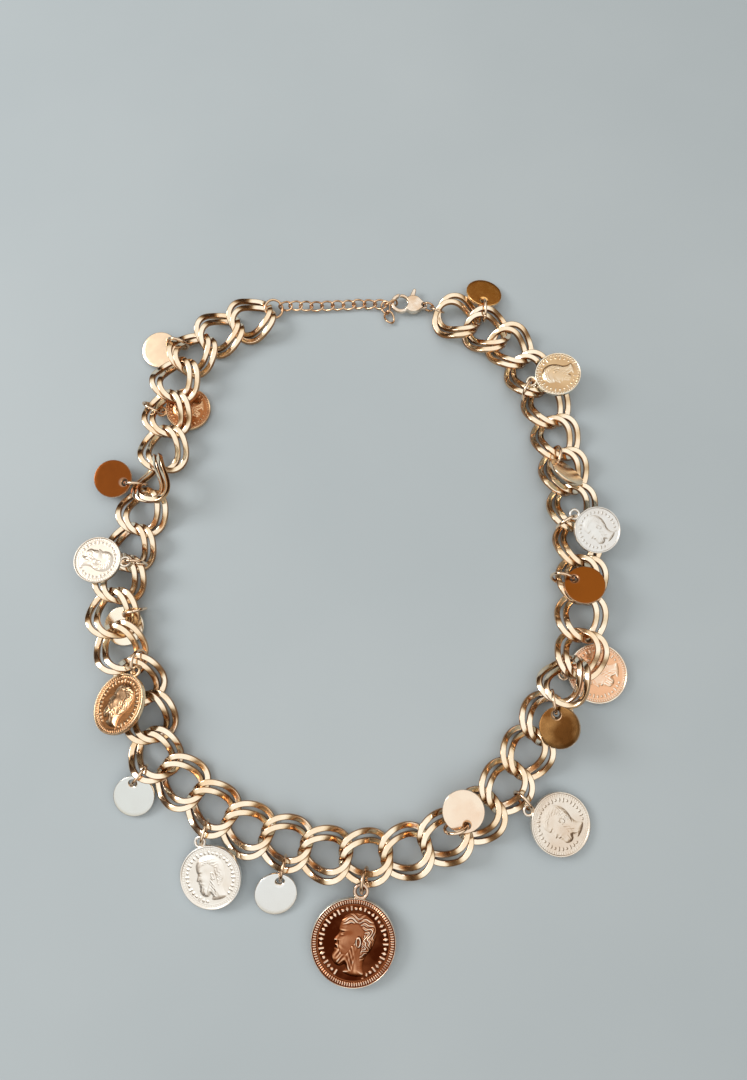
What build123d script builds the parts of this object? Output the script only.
"""Coin necklace laid flat: a double-link chain with discs and struck coins, an extender and a clasp.

+Z is up from the surface that the necklace lies on, +Y is away from the pendant, and +X is to the right.
The origin is on that surface, under the middle of the whole necklace. Sizes are millimetres and degrees.
"""

from build123d import *
from collections import namedtuple
from math import cos, pi, sin
import os

os.makedirs("parts", exist_ok=True)

# Chain: pairs of saddle-shaped rings, each pair threaded through the next one.
LINK_HALF_LENGTH = 5.8
LINK_HALF_WIDTH = 4.85
LINK_RISE = 1.75
LINK_WIRE = 1.24
PAIR_OFFSET = 2.2
LEFT_LINKS = 20

# Every link has three sections a quarter, at these turns, and a hexagon of wire at each.
QUARTER_STEPS = (0, pi / 8, 3 * pi / 8)
MID_FLARE = 1.03
WIRE_CORNERS = 6

# Extender: a fine twisted curb chain.
FINE_HALF_LENGTH = 1.8
FINE_HALF_WIDTH = 1.2
FINE_RISE = 0.42
FINE_WIRE = 0.5

# Plain discs, drilled near the edge.
DISC_RADIUS = 5.0
DISC_THICKNESS = 0.8
DISC_HOLE = 0.85
DISC_HOLE_INSET = 1.65
DISC_BEVEL = 0.15

# Struck coins: radius, thickness over the rim, thickness of the field, then the loop's two radii.
Coin = namedtuple("Coin", "radius thickness field loop_radius loop_wire")
COINS = {
    "small": Coin(6.0, 1.2, 0.6, 1.15, 0.36),
    "medium": Coin(7.5, 1.2, 0.6, 1.15, 0.36),
    "large": Coin(10.0, 1.6, 0.9, 1.5, 0.45),
}
LOOP_SUNK = 0.1
RIM_SHARE = 0.07
HEAD_SHARE = 1.25
FACE_RELIEF = 0.5
HAIR_RELIEF = 0.85

# Rings of round wire: centre line radius and wire radius.
JUMP_RING = (2.8, 0.4)
EXTENDER_RING = (2.45, 0.35)
CLASP_RING_LARGE = (2.0, 0.3)
CLASP_RING_SMALL = (1.5, 0.3)

# Lobster clasp, about the centre of its hook's opening, with the tail along its own +X.
HOOK_OUTER = 2.85
HOOK_INNER = 1.9
HOOK_THICKNESS = 1.3
BODY_CENTRE = (3.4, 0.0)
BODY_RADIUS = 2.5
BODY_THICKNESS = 2.0
WAIST_CENTRE = (5.1, 0.0)
WAIST_RADIUS = 1.35
TAIL_CENTRE = (6.3, 0.0)
TAIL_RADIUS = 1.12
TAIL_THICKNESS = 1.1
EYE_RADIUS = 0.62
PIVOT = (2.75, 1.6)
PIN_RADIUS = 0.3
PIN_CLEARANCE = 0.08
SLOT_WIDTH = 1.1
SLOT_RIGHT = 4.1
SLOT_BOTTOM = -0.4
LEVER_THICKNESS = 0.9
BOSS_RADIUS = 0.8
GATE_REACH = 3.4
GATE_GAP = 0.12
GATE_BAND_GAP = 0.05
GATE_HEEL = 1.3
KNOB_CENTRE = (3.35, 4.4)
KNOB_RADIUS = 0.5

# How a piece lies: the place of its centre, then its turn about Z and, before that, its roll and pitch.
Pose = namedtuple("Pose", "x y z turn roll pitch")


def location(pose):
    """The location that rolls a piece about its own X, pitches it, turns it and moves it into place."""
    return Location((pose.x, pose.y, pose.z), (pose.roll, pose.pitch, pose.turn), Extrinsic.XYZ)


# Where every pair of the chain lies, from the extender's end round to the clasp's.
LINKS = [
    # x, y, z, turn, roll, pitch
    Pose(-27.8, 78.3, 2.55, -152, 0, 0),
    Pose(-36.4, 74.0, 2.75, -146, -1, -4),
    Pose(-43.3, 67.7, 3.60, -125, 0, -5),
    Pose(-47.2, 59.4, 4.75, -108, 2, -3),
    Pose(-49.0, 49.8, 4.35, -98, 4, 3),
    Pose(-49.8, 40.1, 3.60, -90, 0, 0),
    Pose(-51.5, 31.3, 5.90, -99, 42, -1),
    Pose(-54.4, 23.3, 2.55, -108, -2, -2),
    Pose(-57.0, 13.8, 2.45, -102, 0, 0),
    Pose(-58.7, 5.4, 3.70, -102, -2, 0),
    Pose(-59.8, -3.5, 4.40, -88, 0, -2),
    Pose(-57.6, -12.1, 4.10, -68, 0, 1),
    Pose(-52.8, -20.2, 2.90, -59, 1, 4),
    Pose(-49.3, -29.0, 2.65, -79, -2, 0),
    Pose(-47.7, -38.0, 2.65, -61, -3, -4),
    Pose(-40.9, -44.3, 2.50, -37, 0, 0),
    Pose(-33.1, -50.3, 2.70, -36, 1, 0),
    Pose(-24.5, -55.2, 2.45, -23, 0, 0),
    Pose(-15.2, -58.2, 2.50, -16, 1, 0),
    Pose(-5.7, -60.7, 2.85, -14, 2, -1),
    Pose(4.0, -61.5, 2.55, 1, 0, 0),
    Pose(13.6, -60.3, 2.70, 15, 1, -1),
    Pose(22.9, -57.2, 2.60, 22, -1, -1),
    Pose(31.0, -52.3, 2.50, 39, 0, 0),
    Pose(37.8, -45.5, 2.60, 49, 1, 0),
    Pose(43.3, -37.6, 2.45, 57, 0, 0),
    Pose(48.2, -29.4, 2.55, 54, 0, 1),
    Pose(52.9, -20.1, 6.00, 56, -39, 0),
    Pose(57.3, -13.9, 4.75, 72, 0, 1),
    Pose(58.1, -4.5, 4.00, 84, -5, 5),
    Pose(59.1, 5.2, 3.00, 85, -1, 2),
    Pose(59.0, 14.7, 2.60, 92, 3, 3),
    Pose(58.0, 24.4, 2.45, 98, 0, 0),
    Pose(56.3, 34.1, 2.45, 100, 0, 0),
    Pose(54.6, 43.3, 2.55, 103, 1, 2),
    Pose(52.5, 52.6, 2.60, 109, -1, 0),
    Pose(48.4, 61.4, 2.50, 121, 0, 0),
    Pose(43.4, 69.5, 2.75, 130, 1, -2),
    Pose(37.1, 74.5, 2.50, 150, -1, -1),
    Pose(29.0, 78.4, 2.55, 151, 2, 1),
]
# The fine links, from the chain's end to the hooked one, then the two that hang free.
FINE_LINKS = [
    # x, y, z, turn, roll, pitch
    Pose(-18.7, 82.4, 2.05, 5, 49, 3),
    Pose(-15.9, 82.6, 1.90, 2, 38, 4),
    Pose(-13.0, 82.7, 1.60, 4, 30, 7),
    Pose(-10.1, 82.8, 1.25, 6, 22, 3),
    Pose(-7.1, 83.0, 1.15, 4, 26, 1),
    Pose(-4.1, 83.2, 1.10, 2, 20, 2),
    Pose(-1.1, 83.4, 0.95, 6, 17, 3),
    Pose(1.8, 83.7, 0.90, -1, 12, 1),
    Pose(4.8, 83.6, 0.95, -1, 8, -4),
    Pose(7.7, 83.4, 1.25, -3, 27, -2),
    Pose(10.6, 83.5, 1.60, 4, 98, -12),
    Pose(9.2, 82.2, 1.55, -83, -10, 12),
    Pose(10.2, 79.6, 1.00, -65, 4, 4),
]
EXTENDER_RING_POSE = Pose(-21.9, 81.4, 2.40, 23, 21, 9)
CLASP_RING_LARGE_POSE = Pose(23.5, 81.2, 2.25, -27, -59, -3)
CLASP_RING_SMALL_POSE = Pose(21.1, 82.3, 1.90, -22, -102, 6)
CLASP_POSE = Pose(13.5, 83.4, 1.70, -6, 0, 0)

# The charms round the chain, each with the pose of its jump ring.
Charm = namedtuple("Charm", "name kind pose ring")
CHARMS = [
    Charm("disc_01", "disc", Pose(-53.0, 69.4, 1.65, 28, 2, -9), Pose(-47.7, 70.5, 3.35, -13, -90, -8)),
    Charm("coin_02", "small", Pose(-44.0, 52.3, 1.20, -173, 0, -4), Pose(-53.3, 52.0, 3.05, -25, -66, 10)),
    Charm("disc_03", "disc", Pose(-62.7, 32.0, 3.25, -19, 7, 1), Pose(-56.6, 30.7, 3.30, -3, -77, -1)),
    Charm("coin_04", "small", Pose(-64.3, 9.7, 6.55, -4, -5, -2), Pose(-54.7, 8.9, 5.85, -3, -95, 5)),
    Charm("disc_05", "disc", Pose(-57.7, -6.5, 1.45, 79, 2, -11), Pose(-54.7, -2.9, 3.30, 14, -80, 0)),
    Charm("coin_06", "medium", Pose(-56.2, -26.4, 6.40, 67, -28, 3), Pose(-52.2, -15.7, 5.50, 84, -111, -5)),
    Charm("disc_07", "disc", Pose(-52.3, -47.7, 2.00, 95, -2, -15), Pose(-50.8, -42.7, 3.90, 53, -81, 0)),
    Charm("coin_08", "medium", Pose(-32.6, -66.5, 2.35, 109, -10, -7), Pose(-34.5, -55.8, 3.60, 75, -86, -1)),
    Charm("disc_09", "disc", Pose(-17.3, -69.7, 2.05, 71, 12, -13), Pose(-15.6, -63.8, 3.35, 79, -88, -3)),
    Charm("pendant_10", "large", Pose(1.0, -80.8, 2.40, 81, 1, -5), Pose(3.6, -66.5, 3.30, 81, -101, -2)),
    Charm("disc_11", "disc", Pose(27.1, -50.7, 5.95, -75, 5, 4), Pose(25.4, -54.4, 5.05, 14, -71, -4)),
    Charm("coin_12", "medium", Pose(51.3, -54.4, 1.95, 157, 2, -9), Pose(41.9, -48.8, 3.30, 130, -80, 1)),
    Charm("disc_13", "disc", Pose(50.4, -31.4, 7.90, 98, -28, 9), Pose(49.7, -25.4, 6.70, 98, -105, -3)),
    Charm("coin_14", "medium", Pose(62.6, -18.4, 1.55, -178, -2, -1), Pose(53.5, -16.3, 3.00, -94, -64, 1)),
    Charm("disc_15", "disc", Pose(58.8, 3.2, 6.70, 145, 5, 16), Pose(53.9, 5.3, 4.40, 162, -76, -6)),
    Charm("coin_16", "small", Pose(63.4, 17.4, 5.65, 146, -6, -8), Pose(55.3, 19.8, 5.55, -152, -86, -10)),
    Charm("disc_17", "disc", Pose(55.6, 32.6, 6.95, 131, 49, 10), Pose(53.4, 37.4, 5.10, 79, -73, -3)),
    Charm("coin_18", "small", Pose(55.4, 60.1, 6.55, -168, 2, 9), Pose(47.1, 56.2, 5.35, -121, -74, 1)),
    Charm("disc_19", "disc", Pose(36.6, 86.1, 2.35, -96, -6, -18), Pose(36.4, 80.2, 3.65, -89, -88, -3)),
]


def saddle_ring(half_length, half_width, rise, wire):
    """One closed ring of six-sided wire, its sides bent up and down, as flat facets between twelve sections.

    The ring's plan touches the oval of the two half sizes at its ends and sides, and two sections a quarter
    stand on the corners of the octagon round that oval. The wire is level along the octagon's slanting edges.
    """
    centres = []
    for quarter in range(4):
        for step in QUARTER_STEPS:
            turn = pi / 2 * quarter + step
            flare = 1 / cos(pi / 8) if step else MID_FLARE
            centres.append(Vector(half_length * flare * cos(turn), half_width * flare * sin(turn),
                                  -rise * sin(2 * turn) / sin(pi / 4)))
    sections = []
    for place, centre in enumerate(centres):
        before = centres[place - 1]
        after = centres[(place + 1) % len(centres)]
        along = ((after - centre).normalized() + (centre - before).normalized()).normalized()
        outward = Vector(centre.X / half_length**2, centre.Y / half_width**2, 0)
        outward = (outward - along * outward.dot(along)).normalized()
        upward = along.cross(outward)
        section = []
        for corner in range(WIRE_CORNERS):
            spin = 2 * pi * (corner + 0.5) / WIRE_CORNERS
            section.append(centre + outward * (wire / 2 * cos(spin)) + upward * (wire / 2 * sin(spin)))
        sections.append(section)
    facets = []
    for place, near in enumerate(sections):
        far = sections[(place + 1) % len(sections)]
        for corner in range(WIRE_CORNERS):
            after = (corner + 1) % WIRE_CORNERS
            facets.append(Face(Wire.make_polygon([near[corner], far[corner], far[after]])))
            facets.append(Face(Wire.make_polygon([near[corner], far[after], near[after]])))
    return Solid(Shell(facets))


def write(piece, name):
    """Labels a finished piece and writes it."""
    piece.label = name
    export_step(piece, f"parts/{name}.step")


# The chain: every pair is two like rings side by side, the inner one shifted to its left.
with BuildPart() as link_ring:
    add(saddle_ring(LINK_HALF_LENGTH, LINK_HALF_WIDTH, LINK_RISE, LINK_WIRE))
pair = []
for shift in (PAIR_OFFSET / 2, -PAIR_OFFSET / 2):
    pair.append(link_ring.part.solid().moved(Location((0, shift, 0))))
for name, poses in (("chain_left", LINKS[:LEFT_LINKS]), ("chain_right", LINKS[LEFT_LINKS:])):
    rings = [ring.moved(location(pose)) for pose in poses for ring in pair]
    write(Compound(children=rings), name)

# The extender: single rings of the same bent form, one through the next.
with BuildPart() as fine_ring:
    add(saddle_ring(FINE_HALF_LENGTH, FINE_HALF_WIDTH, FINE_RISE, FINE_WIRE))
rings = [fine_ring.part.solid().moved(location(pose)) for pose in FINE_LINKS]
write(Compound(children=rings), "extender_chain")

# Rings of round wire: one for each charm, one for the extender and two for the clasp.
round_rings = [("extender_ring", EXTENDER_RING, EXTENDER_RING_POSE)]
round_rings.append(("clasp_ring_large", CLASP_RING_LARGE, CLASP_RING_LARGE_POSE))
round_rings.append(("clasp_ring_small", CLASP_RING_SMALL, CLASP_RING_SMALL_POSE))
for charm in CHARMS:
    round_rings.append((f"ring_{charm.name[-2:]}", JUMP_RING, charm.ring))
for name, (radius, wire), pose in round_rings:
    with BuildPart(Plane(location(pose))) as ring:
        Torus(radius, wire)
    write(ring.part, name)


def disc(pose):
    """A plain round disc with bevelled rims and one drilled hole."""
    with BuildPart(Plane(location(pose))) as piece:
        Cylinder(DISC_RADIUS, DISC_THICKNESS)
        chamfer(piece.edges().filter_by(GeomType.CIRCLE), DISC_BEVEL)
        with Locations((DISC_RADIUS - DISC_HOLE_INSET, 0)):
            Hole(DISC_HOLE)
    return piece.part


def struck_coin(coin, pose):
    """A coin with a raised rim, a raised bearded head of a plain make and a loop soldered to its edge."""
    rim = RIM_SHARE * coin.radius
    recess = (coin.thickness - coin.field) / 2
    size = HEAD_SHARE * coin.radius
    whole = Plane(location(pose))
    # The head stands upright under the loop and looks to the coin's own left.
    face = Plane(whole.origin, x_dir=-whole.y_dir, z_dir=whole.z_dir)

    def at(across, up):
        return (across * size, up * size)

    with BuildPart(whole) as piece:
        Cylinder(coin.radius, coin.thickness)
        for side in (1, -1):
            with Locations((0, 0, side * (coin.thickness - recess) / 2)):
                Cylinder(coin.radius - rim, recess, mode=Mode.SUBTRACT)
        with Locations((coin.radius + coin.loop_radius - LOOP_SUNK, 0, 0)):
            Torus(coin.loop_radius, coin.loop_wire)
        with BuildSketch(face.offset(coin.field / 2)):
            with BuildLine():
                ThreePointArc(at(-0.08, 0.56), at(-0.22, 0.46), at(-0.27, 0.29))
                Line(at(-0.27, 0.29), at(-0.36, 0.12))
                Line(at(-0.36, 0.12), at(-0.28, 0.07))
                Line(at(-0.28, 0.07), at(-0.29, -0.03))
                ThreePointArc(at(-0.29, -0.03), at(-0.29, -0.20), at(-0.18, -0.32))
                ThreePointArc(at(-0.18, -0.32), at(-0.11, -0.40), at(-0.10, -0.50))
                ThreePointArc(at(-0.10, -0.50), at(0.12, -0.59), at(0.34, -0.50))
                ThreePointArc(at(0.34, -0.50), at(0.24, -0.28), at(0.27, -0.04))
                ThreePointArc(at(0.27, -0.04), at(0.34, 0.34), at(-0.08, 0.56))
            make_face()
        extrude(amount=recess * FACE_RELIEF)
        with BuildSketch(face.offset(coin.field / 2)):
            with BuildLine():
                ThreePointArc(at(-0.08, 0.53), at(0.03, 0.38), at(0.05, 0.17))
                ThreePointArc(at(0.05, 0.17), at(0.12, 0.00), at(0.22, -0.10))
                ThreePointArc(at(0.22, -0.10), at(0.31, 0.32), at(-0.08, 0.53))
            make_face()
            with BuildLine():
                ThreePointArc(at(0.04, 0.08), at(-0.10, -0.02), at(-0.26, -0.05))
                ThreePointArc(at(-0.26, -0.05), at(-0.26, -0.19), at(-0.16, -0.29))
                ThreePointArc(at(-0.16, -0.29), at(0.05, -0.16), at(0.04, 0.08))
            make_face()
        extrude(amount=recess * HAIR_RELIEF)
    return piece.part


for charm in CHARMS:
    piece = disc(charm.pose) if charm.kind == "disc" else struck_coin(COINS[charm.kind], charm.pose)
    write(piece, charm.name)

# The clasp: hook, body, cheeks, rivet and tail eye are soldered up as one piece.
clasp_plane = Plane(location(CLASP_POSE))
with BuildPart(clasp_plane) as clasp_body:
    # The hook stops short of the gate's arc about the rivet, so that the gate can swing in past it.
    with BuildSketch(clasp_plane):
        Circle(HOOK_OUTER)
        with Locations(PIVOT):
            Circle(GATE_REACH + GATE_GAP, mode=Mode.SUBTRACT)
        with Locations((0, -HOOK_OUTER / 2)):
            Rectangle(2 * HOOK_OUTER, HOOK_OUTER)
        Circle(HOOK_OUTER, mode=Mode.INTERSECT)
        Circle(HOOK_INNER, mode=Mode.SUBTRACT)
    extrude(amount=HOOK_THICKNESS / 2, both=True)
    with BuildSketch(clasp_plane):
        with Locations(BODY_CENTRE):
            Circle(BODY_RADIUS)
        with Locations(WAIST_CENTRE):
            Circle(WAIST_RADIUS)
        make_hull()
        Circle(HOOK_INNER, mode=Mode.SUBTRACT)
    extrude(amount=BODY_THICKNESS / 2, both=True)
    with BuildSketch(clasp_plane):
        with Locations(WAIST_CENTRE, TAIL_CENTRE):
            Circle(TAIL_RADIUS)
        make_hull()
    extrude(amount=TAIL_THICKNESS / 2, both=True)
    with Locations(TAIL_CENTRE):
        Cylinder(EYE_RADIUS, BODY_THICKNESS, mode=Mode.SUBTRACT)
    with Locations((SLOT_RIGHT, SLOT_BOTTOM)):
        Box(
            SLOT_RIGHT,
            HOOK_OUTER + BODY_RADIUS,
            SLOT_WIDTH,
            align=(Align.MAX, Align.MIN, Align.CENTER),
            mode=Mode.SUBTRACT,
        )
    with Locations(PIVOT):
        Cylinder(PIN_RADIUS, BODY_THICKNESS)
write(clasp_body.part, "clasp_body")

# The sprung lever: the gate that closes the hook, the boss on the rivet and the thumb knob.
with BuildPart(clasp_plane) as clasp_lever:
    with BuildSketch(clasp_plane):
        Circle(HOOK_OUTER - GATE_BAND_GAP)
        Circle(HOOK_INNER + GATE_BAND_GAP, mode=Mode.SUBTRACT)
        with Locations(PIVOT):
            Circle(GATE_REACH, mode=Mode.INTERSECT)
        with Locations((0, GATE_HEEL)):
            Rectangle(
                2 * HOOK_OUTER, HOOK_OUTER, align=(Align.CENTER, Align.MIN), mode=Mode.INTERSECT
            )
    extrude(amount=LEVER_THICKNESS / 2, both=True)
    with BuildSketch(clasp_plane):
        with Locations(PIVOT):
            Circle(BOSS_RADIUS)
        with Locations(KNOB_CENTRE):
            Circle(KNOB_RADIUS)
        make_hull()
    extrude(amount=LEVER_THICKNESS / 2, both=True)
    with Locations(PIVOT):
        Cylinder(PIN_RADIUS + PIN_CLEARANCE, LEVER_THICKNESS, mode=Mode.SUBTRACT)
write(clasp_lever.part, "clasp_lever")
